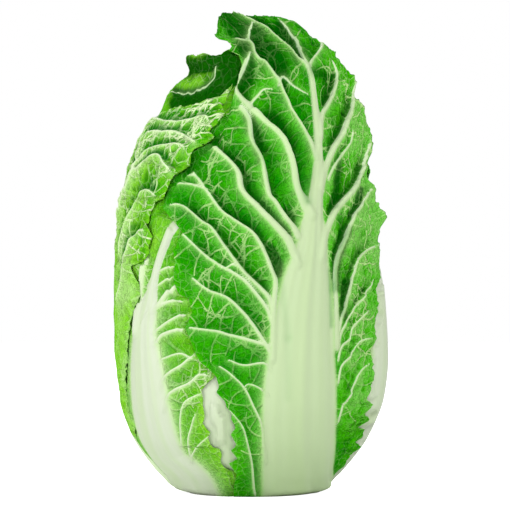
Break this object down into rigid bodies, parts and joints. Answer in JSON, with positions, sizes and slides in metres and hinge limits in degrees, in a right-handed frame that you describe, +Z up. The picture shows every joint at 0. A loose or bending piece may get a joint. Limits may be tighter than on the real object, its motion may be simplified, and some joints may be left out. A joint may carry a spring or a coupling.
{
  "type": "napa cabbage",
  "caption": "Whole trimmed head of napa cabbage: a barrel of broad crinkled green leaves with wide pale ribs, nested round a short conical stem with a flat cut base.",
  "frame": {"origin": "middle of the flat cut face of the stem, in the plane the head stands on", "axes": "+Z up along the stem to the crown; -Y is the front, where the broadest rib faces; +X to the right seen from the front"},
  "size_m": [0.1658, 0.1668, 0.3],
  "materials": {
    "leaf": "crisp green leaf with a slight sheen, paler along its ribs",
    "heart_leaf": "crisp pale yellow inner leaf",
    "stem": "moist off-white cut stem"
  },
  "bodies": {
    "root": {"stem_core": "stem", "wrapper_leaf_01": "leaf", "wrapper_leaf_02": "leaf", "wrapper_leaf_03": "leaf", "wrapper_leaf_04": "leaf", "wrapper_leaf_05": "leaf", "wrapper_leaf_06": "leaf", "wrapper_leaf_07": "leaf", "wrapper_leaf_08": "leaf", "wrapper_leaf_09": "leaf", "heart_leaf_10": "heart_leaf", "heart_leaf_11": "heart_leaf", "heart_leaf_12": "heart_leaf", "heart_leaf_13": "heart_leaf", "heart_leaf_14": "heart_leaf", "heart_leaf_15": "heart_leaf", "heart_leaf_16": "heart_leaf", "heart_leaf_17": "heart_leaf", "heart_leaf_18": "heart_leaf", "heart_leaf_19": "heart_leaf", "heart_leaf_20": "heart_leaf", "heart_leaf_21": "heart_leaf", "heart_leaf_22": "heart_leaf"}
  },
  "joints": []
}
